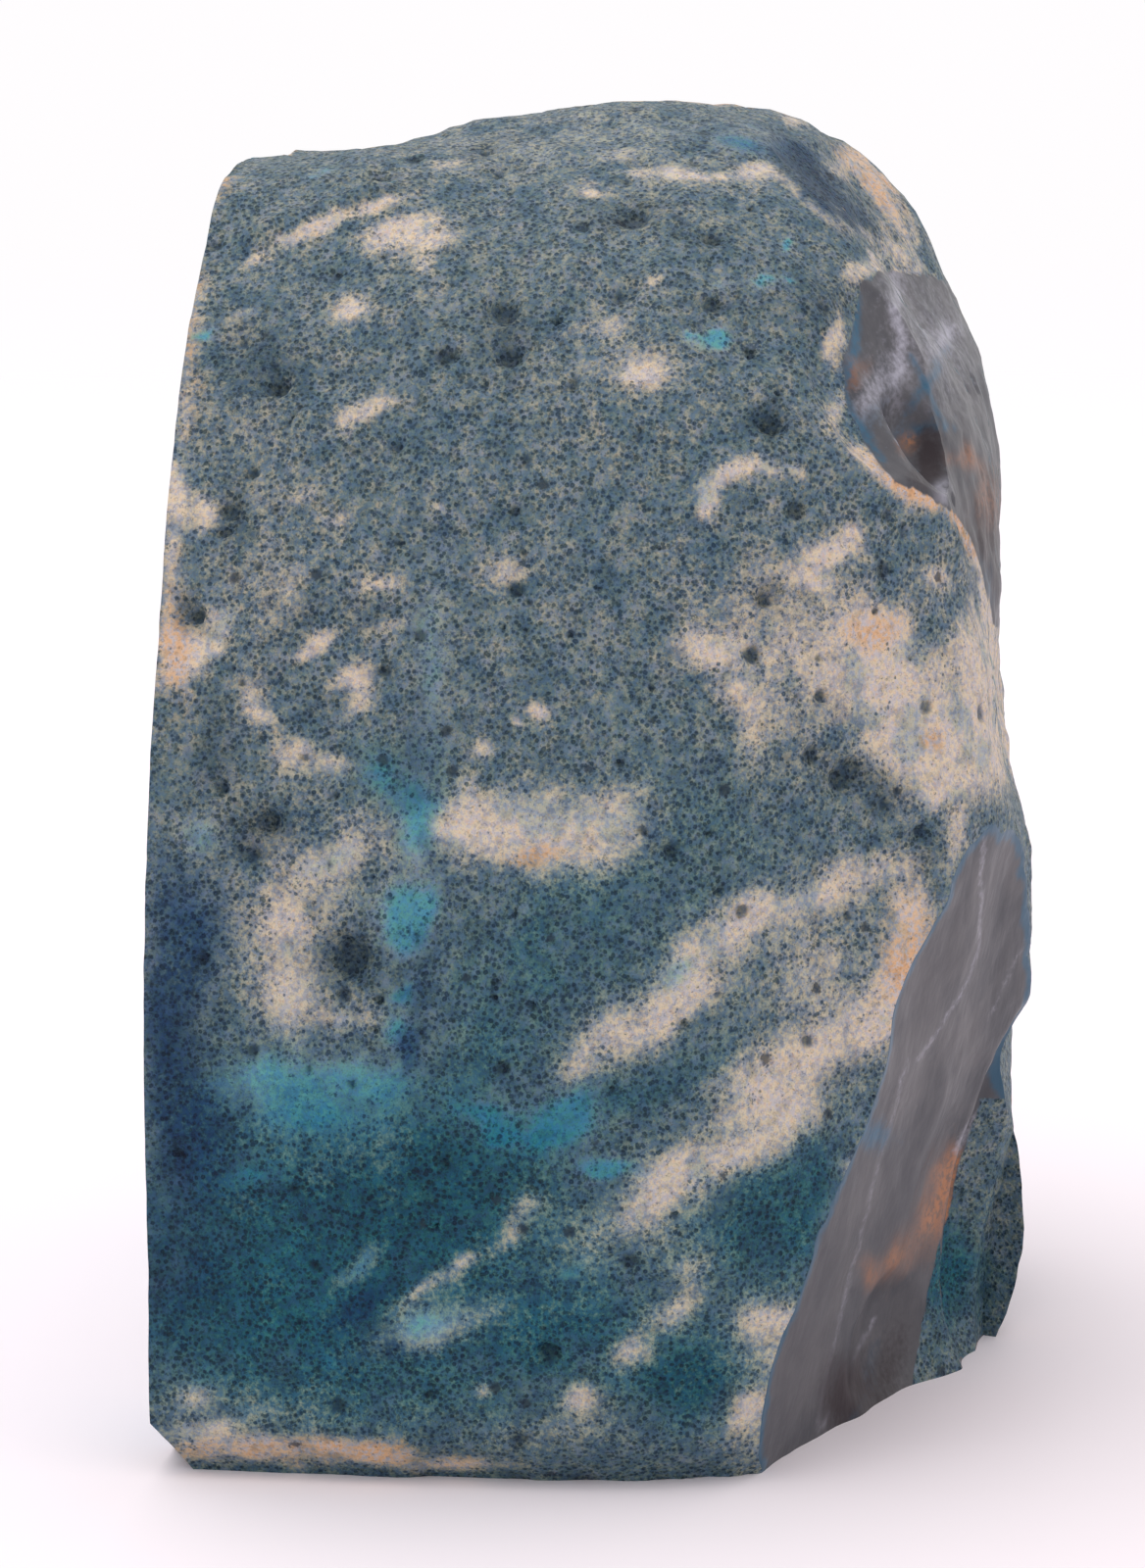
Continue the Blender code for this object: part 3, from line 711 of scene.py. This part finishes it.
def shaped(directions, pits):
    """Points of the natural nodule along directions from the core."""
    radii = nodule_radius(directions)
    radii += rind_offsets(CORE + directions * radii[:, None], pits)
    points = CORE + directions * radii[:, None]
    low = np.clip((TUCK_HEIGHT - points[:, 2]) / TUCK_HEIGHT, 0.0, 1.0)
    tuck = TUCK_DEPTH * low**TUCK_CURVE * np.clip(points[:, 0] / TUCK_FADE, TUCK_FAR_SHARE, 1.0)
    sideways = np.maximum(np.hypot(points[:, 0], points[:, 1]), TUCK_DEPTH)
    points[:, :2] *= (1.0 - tuck / sideways)[:, None]

    # Nothing stands out of the solid's box; what passes it below and at the face is cut off later
    lowest, highest = np.array(CAD_BOX) / MM
    points[:, 0] = np.maximum(points[:, 0], lowest[0])
    return np.minimum(points, highest)


def object_from(shape, name):
    mesh = bpy.data.meshes.new(name)
    shape.to_mesh(mesh)
    shape.free()
    thing = bpy.data.objects.new(name, mesh)
    bpy.context.scene.collection.objects.link(thing)
    return thing


def nodule(pits):
    """The whole nodule: a cube's faces subdivided, finest on the near side, blown out to the rind."""
    shape = bmesh.new()
    bmesh.ops.create_cube(shape, size=2.0)
    bmesh.ops.subdivide_edges(shape, edges=shape.edges[:], cuts=BODY_STEPS - 1, use_grid_fill=True)
    near = [edge for edge in shape.edges if min(vertex.co.x for vertex in edge.verts) > 0.999]
    bmesh.ops.subdivide_edges(shape, edges=near, cuts=1, use_grid_fill=True)
    cube = np.array([vertex.co for vertex in shape.verts])
    directions = np.tan(cube * math.pi / 4.0)
    directions /= np.linalg.norm(directions, axis=1)[:, None]
    for vertex, point in zip(shape.verts, shaped(directions, pits)):
        vertex.co = point * MM
    bmesh.ops.triangulate(shape, faces=shape.faces[:])
    return object_from(shape, "stone")


def block(name, middle, outward, away, upward, run, climb, step, thickness, depth_at):
    """A closed block whose inner face is a grid pressed by depth_at, drawn out along outward."""
    shape = bmesh.new()
    steps = [round((end - start) / step) for start, end in (run, climb)]
    bmesh.ops.create_grid(shape, x_segments=steps[0], y_segments=steps[1], size=0.5)
    vertices = shape.verts[:]
    grid = np.array([vertex.co for vertex in vertices])
    along = run[0] + (grid[:, 0] + 0.5) * (run[1] - run[0])
    rise = climb[0] + (grid[:, 1] + 0.5) * (climb[1] - climb[0])
    places = middle + along[:, None] * away + rise[:, None] * upward
    places = places + depth_at(along, rise, places)[:, None] * outward
    for vertex, place in zip(vertices, places):
        vertex.co = place * MM
    drawn = bmesh.ops.extrude_face_region(shape, geom=shape.faces[:])
    moved = [item for item in drawn["geom"] if isinstance(item, bmesh.types.BMVert)]
    bmesh.ops.translate(shape, verts=moved, vec=Vector(outward) * thickness * MM)
    bmesh.ops.recalc_face_normals(shape, faces=shape.faces[:])
    bmesh.ops.triangulate(shape, faces=shape.faces[:])
    return object_from(shape, name)


def fracture_block(name, fracture):
    middle, normal, run, climb, bowls, ledges = fracture
    outward = np.array(normal) / np.linalg.norm(normal)
    away = np.array((-1.0, 0.0, 0.0))
    away = away - outward * (away @ outward)
    away /= np.linalg.norm(away)
    upward = np.cross(outward, away)
    if upward[2] < 0.0:
        upward = -upward

    def depth_at(along, rise, places):
        depths = np.array([
            sink * (((along - s) / wide) ** 2 + ((rise - t) / tall) ** 2 - 1.0)
            for s, t, wide, tall, sink in bowls
        ])
        lowest = depths.min(axis=0)
        depth = lowest - BOWL_BLEND * np.log(np.exp((lowest - depths) / BOWL_BLEND).sum(axis=0))
        for s, t, wide, tall, height in ledges:
            depth += height * np.exp(-(((along - s) / wide) ** 2) - ((rise - t) / tall) ** 2)
        for length, height in BREAK_WAVES:
            depth += height * noise_at(places, length)
        return depth

    middle = np.array(middle)
    return block(name, middle, outward, away, upward, run, climb, CUT_STEP, CUT_MARGIN, depth_at)


def saw_block(name, middle, outward, away, step):
    """A flat cut: the block's inner face is a plain grid."""
    outward, away = np.array(outward), np.array(away)
    reach = (-SAW_REACH, SAW_REACH)
    upward = np.cross(outward, away)

    def flat(along, rise, places):
        return np.zeros(len(along))

    return block(name, np.array(middle), outward, away, upward, reach, reach, step, SAW_REACH, flat)


MATERIALS = ("agate rind", "agate broken", "agate polished", "agate sawn foot")
RIND, BROKEN, POLISHED, SAWN = range(4)


def cut(stone, cutter, slot):
    """Takes the cutter away from the stone; the faces that it leaves get that material slot."""
    add_materials(cutter)
    cutter.data.polygons.foreach_set("material_index", [slot] * len(cutter.data.polygons))
    modifier = stone.modifiers.new(cutter.name, "BOOLEAN")
    modifier.operation = "DIFFERENCE"
    modifier.solver = "MANIFOLD"
    modifier.object = cutter
    graph = bpy.context.evaluated_depsgraph_get()
    mesh = bpy.data.meshes.new_from_object(stone.evaluated_get(graph), depsgraph=graph)
    stone.modifiers.clear()
    stone.data = mesh
    bpy.data.objects.remove(cutter)


def add_materials(thing):
    for name in MATERIALS:
        thing.data.materials.append(bpy.data.materials[name])


def build_stone(pits):
    for name in MATERIALS:
        bpy.data.materials.new(name).use_nodes = True
    stone = nodule(pits)
    add_materials(stone)
    for name, fracture in FRACTURES.items():
        cut(stone, fracture_block(name, fracture), BROKEN)
    cut(stone, saw_block("foot", (0.0, 0.0, 0.0), (0, 0, -1), (1, 0, 0), 2.0 * SAW_REACH), SAWN)
    cut(stone, saw_block("face", (0.0, FACE_Y, CORE_HEIGHT), (0, -1, 0), (1, 0, 0), FACE_STEP), POLISHED)
    stone.name = "agate_stone"
    stone.data.name = "agate_stone"
    stone.data.shade_smooth()
    stone.data.set_sharp_from_angle(angle=math.radians(SHARP_ANGLE))
    return stone


# Where the colours go

def seen_pixels(points):
    """The photograph's pixel (across, down) that each point is seen at."""
    offsets = points - EYE
    away = -(offsets @ BACK)
    across = PHOTO_WIDTH / 2 + FOCAL_PIXELS * (offsets @ RIGHT) / away
    down = PHOTO_HEIGHT / 2 - FOCAL_PIXELS * (offsets @ UP) / away
    return np.stack((across, down), axis=1)


def blob_amounts(pixels, marks):
    """How strongly each point is marked by the blobs, from 0 to 1."""
    bare = np.ones(len(pixels))
    for across, down, half_length, half_width, slant, amount in marks:
        turn = math.radians(slant)
        right, up = pixels[:, 0] - across, down - pixels[:, 1]
        along = (right * math.cos(turn) + up * math.sin(turn)) / half_length
        beside = (up * math.cos(turn) - right * math.sin(turn)) / half_width
        bare *= 1.0 - amount * np.exp(-(along**2 + beside**2) / BLOB_SPREAD**2)
    return 1.0 - bare


def stroke_amounts(pixels, strokes):
    """How strongly each point is marked by strokes: half width, strength and the pixels it runs through."""
    bare = np.ones(len(pixels))
    for half_width, amount, *corners in strokes.values():
        corners = [np.array(corner, dtype=float) for corner in corners]
        away = np.min([distance_to_segment(pixels, *ends) for ends in zip(corners, corners[1:])], axis=0)
        bare *= 1.0 - amount * np.exp(-((away / half_width) ** 2))
    return 1.0 - bare


def area_amounts(pixels, outlines):
    """1 inside any of the outlines, 0 outside, with an edge a few pixels wide."""
    amounts = np.zeros(len(pixels))
    for corners in outlines.values():
        corners = np.array(corners, dtype=float)
        inside = np.zeros(len(pixels), dtype=bool)
        away = np.full(len(pixels), np.inf)
        for start, end in zip(corners, np.roll(corners, -1, axis=0)):
            crosses = (start[1] > pixels[:, 1]) != (end[1] > pixels[:, 1])
            slope = (end[0] - start[0]) / (end[1] - start[1] or 1.0)
            inside ^= crosses & (pixels[:, 0] < start[0] + (pixels[:, 1] - start[1]) * slope)
            away = np.minimum(away, distance_to_segment(pixels, start, end))
        signed = np.where(inside, away, -away)
        amounts = np.maximum(amounts, smoothstep(-AREA_EDGE, AREA_EDGE, signed))
    return amounts


def drifts(points, length, low, high, seed):
    """Seeded patches for the sides that the photograph doesn't show."""
    field = sum(share * noise_at(points, length * share, seed * DRIFT_STEP) for share in DRIFT_SHARES)
    return DRIFT_STRENGTH * smoothstep(low, high, field)


def set_attribute(mesh, name, values):
    attribute = mesh.attributes.new(name, "FLOAT", "POINT")
    attribute.data.foreach_set("value", np.asarray(values, dtype=np.float32))


def border_vertices(mesh, slot):
    """Vertices where the natural rind meets faces of another slot."""
    touched = [set(), set()]
    for face in mesh.polygons:
        if face.material_index in (RIND, slot):
            touched[face.material_index == slot].update(face.vertices)
    return touched[0] & touched[1]


def distance_to(points, wanted):
    tree = KDTree(len(wanted))
    for index in wanted:
        tree.insert(points[index], index)
    tree.balance()
    return np.array([tree.find(point)[2] for point in points])


def mark_stone(stone, pits):
    mesh = stone.data
    count = len(mesh.vertices)
    points = np.empty(3 * count)
    mesh.vertices.foreach_get("co", points)
    points = points.reshape(count, 3) / MM
    normals = np.empty(3 * count)
    mesh.vertex_normals.foreach_get("vector", normals)
    toward = EYE - points
    toward /= np.linalg.norm(toward, axis=1)[:, None]
    seen = smoothstep(*SEEN_FACING, np.sum(normals.reshape(count, 3) * toward, axis=1))

    stray = sum(size * noise_vectors(points, length) for length, size in PATCH_STRAY)
    pixels = seen_pixels(points + stray)
    still = seen_pixels(points + STILL_SHARE * stray)

    for seed, (name, (blobs, strokes, length, low, high)) in enumerate(MARKS.items()):
        marked = 1.0 - (1.0 - blob_amounts(pixels, blobs)) * (1.0 - stroke_amounts(still, strokes))
        elsewhere = drifts(points, length, low, high, seed + 1)
        set_attribute(mesh, name, seen * marked + (1.0 - seen) * elsewhere)
    for seed, (name, (outlines, length, low, high)) in enumerate(AREAS.items()):
        elsewhere = drifts(points, length, low, high, len(MARKS) + seed + 1)
        set_attribute(mesh, name, seen * area_amounts(still, outlines) + (1.0 - seen) * elsewhere)

    offsets = points - CORE
    reach = np.linalg.norm(offsets, axis=1)
    limits = nodule_radius(offsets / reach[:, None])
    set_attribute(mesh, "shell", reach / limits)
    set_attribute(mesh, "pit", pit_depths(CORE + offsets * (limits / reach)[:, None], pits)[1])
    for name, slot in (("broken_rim", BROKEN), ("sawn_rim", SAWN)):
        set_attribute(mesh, name, distance_to(points, border_vertices(mesh, slot)))


# Materials

def paint(red, green, blue):
    """Linear surface colour for a colour of the photograph, given as 0 to 255 in sRGB."""
    shares = np.array((red, green, blue)) / 255.0
    linear = np.where(shares <= 0.04045, shares / 12.92, ((shares + 0.055) / 1.055) ** 2.4)
    return (*(linear / LIGHT_LEVEL), 1.0)


class Shader:
    """A material's node tree, built up one named step at a time."""

    def __init__(self, name):
        self.tree = bpy.data.materials[name].node_tree
        self.surface = self.tree.nodes["Principled BSDF"]
        self.place = self.node("ShaderNodeTexCoord").outputs["Object"]

    def node(self, kind, **settings):
        node = self.tree.nodes.new(kind)
        for name, value in settings.items():
            setattr(node, name, value)
        return node

    def feed(self, socket, value):
        if isinstance(value, bpy.types.NodeSocket):
            self.tree.links.new(value, socket)
        else:
            socket.default_value = value

    def attribute(self, name):
        return self.node("ShaderNodeAttribute", attribute_name=name).outputs["Fac"]

    def math(self, operation, first, second=0.0):
        node = self.node("ShaderNodeMath", operation=operation)
        self.feed(node.inputs[0], first)
        self.feed(node.inputs[1], second)
        return node.outputs[0]

    def add(self, first, second):
        return self.math("ADD", first, second)

    def less(self, first, second):
        return self.math("SUBTRACT", first, second)

    def times(self, first, second):
        return self.math("MULTIPLY", first, second)

    def stray(self, value, noise, amount):
        """The value, moved up and down by noise."""
        return self.add(value, self.times(self.add(noise, -0.5), amount))

    def span(self, value, low, high, start=0.0, end=1.0):
        """Smooth step of value from low to high, from start to end."""
        node = self.node("ShaderNodeMapRange", interpolation_type="SMOOTHSTEP")
        for socket, given in zip(node.inputs[:5], (value, low, high, start, end)):
            self.feed(socket, given)
        return node.outputs[0]

    def noise(self, size, detail=2.0, roughness=0.5, stretch=None):
        """Noise whose grains are about the given size in millimetres."""
        place = self.place
        if stretch is not None:
            mapping = self.node("ShaderNodeMapping")
            self.feed(mapping.inputs["Vector"], place)
            mapping.inputs["Rotation"].default_value = stretch[0]
            mapping.inputs["Scale"].default_value = stretch[1]
            place = mapping.outputs[0]
        node = self.node("ShaderNodeTexNoise")
        self.feed(node.inputs["Vector"], place)
        node.inputs["Scale"].default_value = 1.0 / (size * MM)
        node.inputs["Detail"].default_value = detail
        node.inputs["Roughness"].default_value = roughness
        return node.outputs["Fac"]

    def cells(self, size):
        """(distance to the middle of the nearest cell in millimetres, a random value of that cell)."""
        node = self.node("ShaderNodeTexVoronoi")
        self.feed(node.inputs["Vector"], self.place)
        node.inputs["Scale"].default_value = 1.0 / (size * MM)
        node.inputs["Randomness"].default_value = 1.0
        parts = self.node("ShaderNodeSeparateColor")
        self.feed(parts.inputs[0], node.outputs["Color"])
        return self.times(node.outputs["Distance"], size), parts.outputs[0]

    def mix(self, share, first, second, blend="MIX"):
        node = self.node("ShaderNodeMix", data_type="RGBA", blend_type=blend)
        self.feed(node.inputs[0], share)
        self.feed(node.inputs[6], first)
        self.feed(node.inputs[7], second)
        return node.outputs[2]

    def tint(self, surface, share, colour):
        """The surface, with the light that it gives back cut down to the colour's shares."""
        return self.mix(share, surface, colour, "MULTIPLY")

    def bump(self, height, depth):
        node = self.node("ShaderNodeBump")
        node.inputs["Strength"].default_value = 1.0
        node.inputs["Distance"].default_value = depth * MM
        self.feed(node.inputs["Height"], height)
        return node.outputs[0]


def rind_look(shader, marks):
    """Porous rind: pale where it took no dye and along its painted highlights and painted floor light,
    stained and specked with ink where it did, and darker in its hollows and pits from dye and painted
    shade.
    """
    pit = shader.attribute("pit")
    clouds, wide, mottle, hue, fine, grain = [shader.noise(*given) for given in RIND_NOISES.values()]

    def soaked(name):
        cloud, dust, low, high = RIND_FRAYS[name]
        return shader.span(shader.stray(shader.stray(marks[name], clouds, cloud), hue, dust), low, high)

    cream, turquoise, blue, teal, warm = [soaked(name) for name in RIND_FRAYS]
    ground = shader.mix(shader.span(hue, 0.42, 0.58), paint(*LILAC), paint(*IVORY))
    ground = shader.mix(shader.span(grain, 0.52, 0.66, 0.0, 0.35), ground, paint(*ORANGE))
    ground = shader.mix(shader.times(warm, shader.span(hue, 0.36, 0.58)), ground, paint(*ORANGE))
    ground = shader.tint(ground, shader.span(grain, 0.5, 0.3, 0.0, 0.6), GRAIN_SHADE)
    slate = shader.less(1.0, shader.math("MAXIMUM", cream, shader.times(turquoise, 0.8)))
    slate = shader.times(slate, shader.span(hue, 0.5, 0.7, 1.0, 0.86))
    slate = shader.times(slate, shader.span(mottle, 0.46, 0.68, 1.0, 0.8))
    slate = shader.times(slate, shader.span(wide, 0.52, 0.72, 1.0, 0.8))
    surface = shader.tint(ground, slate, SLATE_DYE)
    dyed = shader.less(1.0, shader.times(cream, 0.85))
    surface = shader.tint(surface, shader.times(teal, dyed), TEAL_DYE)
    surface = shader.tint(surface, shader.times(blue, dyed), BLUE_DYE)
    surface = shader.tint(surface, turquoise, TURQUOISE_DYE)
    surface = shader.tint(surface, shader.span(mottle, 0.5, 0.34, 0.0, 0.7), GRAIN_SHADE)
    surface = shader.tint(surface, shader.span(clouds, 0.5, 0.36, 0.0, 0.8), CLOUD_SHADE)

    # Ink: fine specks and pores, fewer where the rind is pale, and scattered larger dots
    density = shader.less(1.0, cream)
    density = shader.add(density, shader.times(turquoise, -0.35))
    density = shader.stray(density, wide, 3.0)
    edge = shader.span(density, -0.1, 1.15, *SPECK_EDGES)
    speck = shader.span(shader.less(fine, edge), -0.03, 0.1)
    surface = shader.tint(surface, shader.times(speck, 0.65), SPECK_SHADE)
    pore, chance = shader.cells(PORE_SPACING)
    size = shader.add(shader.span(density, -0.1, 1.15, -0.08, 0.1), shader.times(chance, 0.13))
    bead = shader.span(shader.less(shader.stray(pore, fine, 0.5), size), 0.06, -0.05)
    surface = shader.tint(surface, shader.times(bead, 0.8), SPECK_SHADE)
    away, chance = shader.cells(DOT_SPACING)
    size = shader.span(chance, 0.5, 1.0, -0.3, 0.55)
    dot = shader.span(shader.less(shader.stray(away, fine, 1.3), size), 0.16, -0.16)
    surface = shader.mix(shader.times(dot, 0.8), surface, paint(*INK))
    # Painted shade in the hollows and pits, over the dark marks; partly dye that gathered there
    shade = shader.math("MAXIMUM", shader.times(marks["dark"], 0.8), shader.span(pit, 0.1, 0.8, 0.0, 0.9))
    surface = shader.tint(surface, shade, HOLLOW_SHADE)

    relief = shader.add(shader.times(grain, 0.5), shader.span(pore, 0.22, 0.08, 0.0, -0.4))
    relief = shader.add(relief, shader.times(wide, 1.6))
    return surface, shader.span(grain, 0.3, 0.7, 0.5, 0.72), relief


def broken_look(shader, marks):
    """Fresh chalcedony: smooth warm grey, finely hackled along the break, stained and edged with dye;
    painted glints lie on its hackles and ridges and painted shadow in its recesses.
    """
    hackles = shader.noise(0.9, 3.0, 0.55, stretch=HACKLE_STRETCH)
    clouds = shader.noise(8.0, 4.0, 0.55)
    grain = shader.noise(0.6, 3.0, 0.6)
    surface = shader.mix(shader.span(clouds, 0.36, 0.64), paint(*FLINT), paint(*DOVE))
    surface = shader.mix(shader.span(hackles, 0.5, 0.75, 0.0, 0.1), surface, paint(*GLINT))
    rust = shader.mix(shader.span(grain, 0.4, 0.62), paint(*RUST), paint(*UMBER))
    # Pale marks are pale streaks and painted glints on the ridges; shade marks are painted shadow in the
    # recesses
    colours = {"stain": rust, "pale": paint(*PALE_AND_GLINT), "dye": paint(*TIDE), "shade": paint(*PAINTED_SHADOW)}
    for name, colour in colours.items():
        surface = shader.mix(shader.span(shader.stray(marks[name], grain, 0.7), 0.1, 0.9), surface, colour)
    border = shader.stray(shader.attribute("broken_rim"), shader.noise(1.8, 3.0), 2.4)
    border = shader.add(border, shader.times(shader.attribute("worn"), 3.0))
    surface = shader.mix(shader.span(border, 1.4, 0.4, 0.0, 0.7), surface, paint(*TIDE))
    relief = shader.add(shader.times(hackles, 0.2), shader.times(clouds, 1.5))
    return surface, shader.span(hackles, 0.3, 0.7, 0.34, 0.46), relief


def natural_material(name, mark, bare_at):
    """Rind or broken stone; where the mark is, the one turns into the other."""
    shader = Shader(name)
    marks = {title: shader.attribute(title) for title in MARKS}
    looks = [rind_look(shader, marks), broken_look(shader, marks)]
    ragged = shader.stray(shader.attribute(mark), shader.noise(1.5, 3.0, 0.6), 0.6)
    bare = shader.span(ragged, 0.35, 0.65, *bare_at)
    surface, roughness, relief = [shader.mix(bare, *pair) for pair in zip(*looks)]
    shader.feed(shader.surface.inputs["Base Color"], surface)
    shader.feed(shader.surface.inputs["Roughness"], roughness)
    shader.surface.inputs["Specular IOR Level"].default_value = RIND_SPECULAR
    shader.feed(shader.surface.inputs["Normal"], shader.bump(relief, RELIEF_DEPTH))


def polished_material():
    shader = Shader("agate polished")
    depth = shader.stray(shader.attribute("shell"), shader.noise(14.0, 2.0), 0.09)
    depth = shader.stray(depth, shader.noise(3.0, 2.0), 0.012)
    ramp = shader.node("ShaderNodeValToRGB")
    shader.feed(ramp.inputs[0], shader.span(depth, 0.44, 1.0))
    stops = ramp.color_ramp.elements
    for index, (place, colour) in enumerate(FACE_BANDS):
        stop = stops[index] if index < 2 else stops.new(place)
        stop.position = place
        stop.color = paint(*colour)
    waves = [shader.times(shader.math("SINE", shader.times(depth, often)), strength)
             for often, strength in FACE_LINES]
    lines = shader.span(shader.add(*waves), -0.4, 0.9, 0.0, 0.4)
    surface = shader.mix(lines, ramp.outputs[0], paint(*MILK))
    shader.feed(shader.surface.inputs["Base Color"], surface)
    shader.surface.inputs["Roughness"].default_value = 0.08
    shader.surface.inputs["Coat Weight"].default_value = 0.5
    shader.surface.inputs["Coat Roughness"].default_value = 0.04


def sawn_material():
    shader = Shader("agate sawn foot")
    clouds = shader.noise(7.0, 3.0)
    grain = shader.noise(0.5, 2.0)
    kerf = shader.noise(0.7, 2.0, stretch=KERF_STRETCH)
    surface = shader.mix(shader.span(clouds, 0.35, 0.65), paint(*SAWN_BLUE), paint(*SAWN_GREY))
    surface = shader.mix(shader.span(grain, 0.5, 0.7, 0.0, 0.4), surface, paint(*SAWN_DUST))
    rim = shader.stray(shader.attribute("sawn_rim"), shader.noise(4.0, 3.0), 6.0)
    surface = shader.mix(shader.span(rim, 4.0, 0.5, 0.0, 0.7), surface, paint(*SAWN_EDGE))
    shader.feed(shader.surface.inputs["Base Color"], surface)
    shader.surface.inputs["Roughness"].default_value = 0.7
    shader.feed(shader.surface.inputs["Normal"], shader.bump(kerf, 0.15))


# The studio

def add_camera():
    data = bpy.data.cameras.new("camera")
    data.lens = LENS
    data.sensor_width = SENSOR
    data.clip_start = 0.01
    camera = bpy.data.objects.new("camera", data)
    bpy.context.scene.collection.objects.link(camera)
    turn = Matrix((RIGHT, UP, BACK)).transposed().to_4x4()
    camera.matrix_world = Matrix.Translation(Vector(EYE * MM)) @ turn
    bpy.context.scene.camera = camera


def add_light(name, place, size, power):
    data = bpy.data.lights.new(name, "AREA")
    data.shape = "DISK"
    data.size = size
    data.energy = power
    light = bpy.data.objects.new(name, data)
    bpy.context.scene.collection.objects.link(light)
    light.location = place
    light.rotation_euler = (Vector(AIM * MM) - Vector(place)).to_track_quat("-Z", "Y").to_euler()
    light.visible_camera = False


def add_studio():
    scene = bpy.context.scene
    scene.view_settings.view_transform = "Standard"
    world = bpy.data.worlds.new("studio")
    scene.world = world
    world.use_nodes = True
    background = world.node_tree.nodes["Background"]
    background.inputs["Color"].default_value = WORLD_COLOUR
    background.inputs["Strength"].default_value = WORLD_STRENGTH
    for name, (place, size, power) in LIGHTS.items():
        add_light(name, place, size, power)

    mesh = bpy.data.meshes.new("floor")
    shape = bmesh.new()
    bmesh.ops.create_circle(shape, cap_ends=True, segments=96, radius=FLOOR_RADIUS)
    shape.to_mesh(mesh)
    shape.free()
    floor = bpy.data.objects.new("floor", mesh)
    scene.collection.objects.link(floor)
    material = bpy.data.materials.new("floor")
    material.use_nodes = True
    mesh.materials.append(material)
    shader = Shader("floor")
    shader.surface.inputs["Base Color"].default_value = FLOOR_COLOUR
    shader.surface.inputs["Roughness"].default_value = 0.9
    shader.surface.inputs["Specular IOR Level"].default_value = 0.1
    length = shader.node("ShaderNodeVectorMath", operation="LENGTH")
    shader.feed(length.inputs[0], shader.place)
    fade = shader.span(length.outputs["Value"], FLOOR_FADE, FLOOR_RADIUS, 1.0, 0.0)
    shader.feed(shader.surface.inputs["Alpha"], fade)


def main():
    add_camera()
    add_studio()
    pits = near_pits() + strewn_pits()
    stone = build_stone(pits)
    mark_stone(stone, pits)
    natural_material("agate rind", "worn", (0.0, 1.0))
    natural_material("agate broken", "crust", (1.0, 0.0))
    polished_material()
    sawn_material()
    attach(stone, "root")
    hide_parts("agate_base")


main()
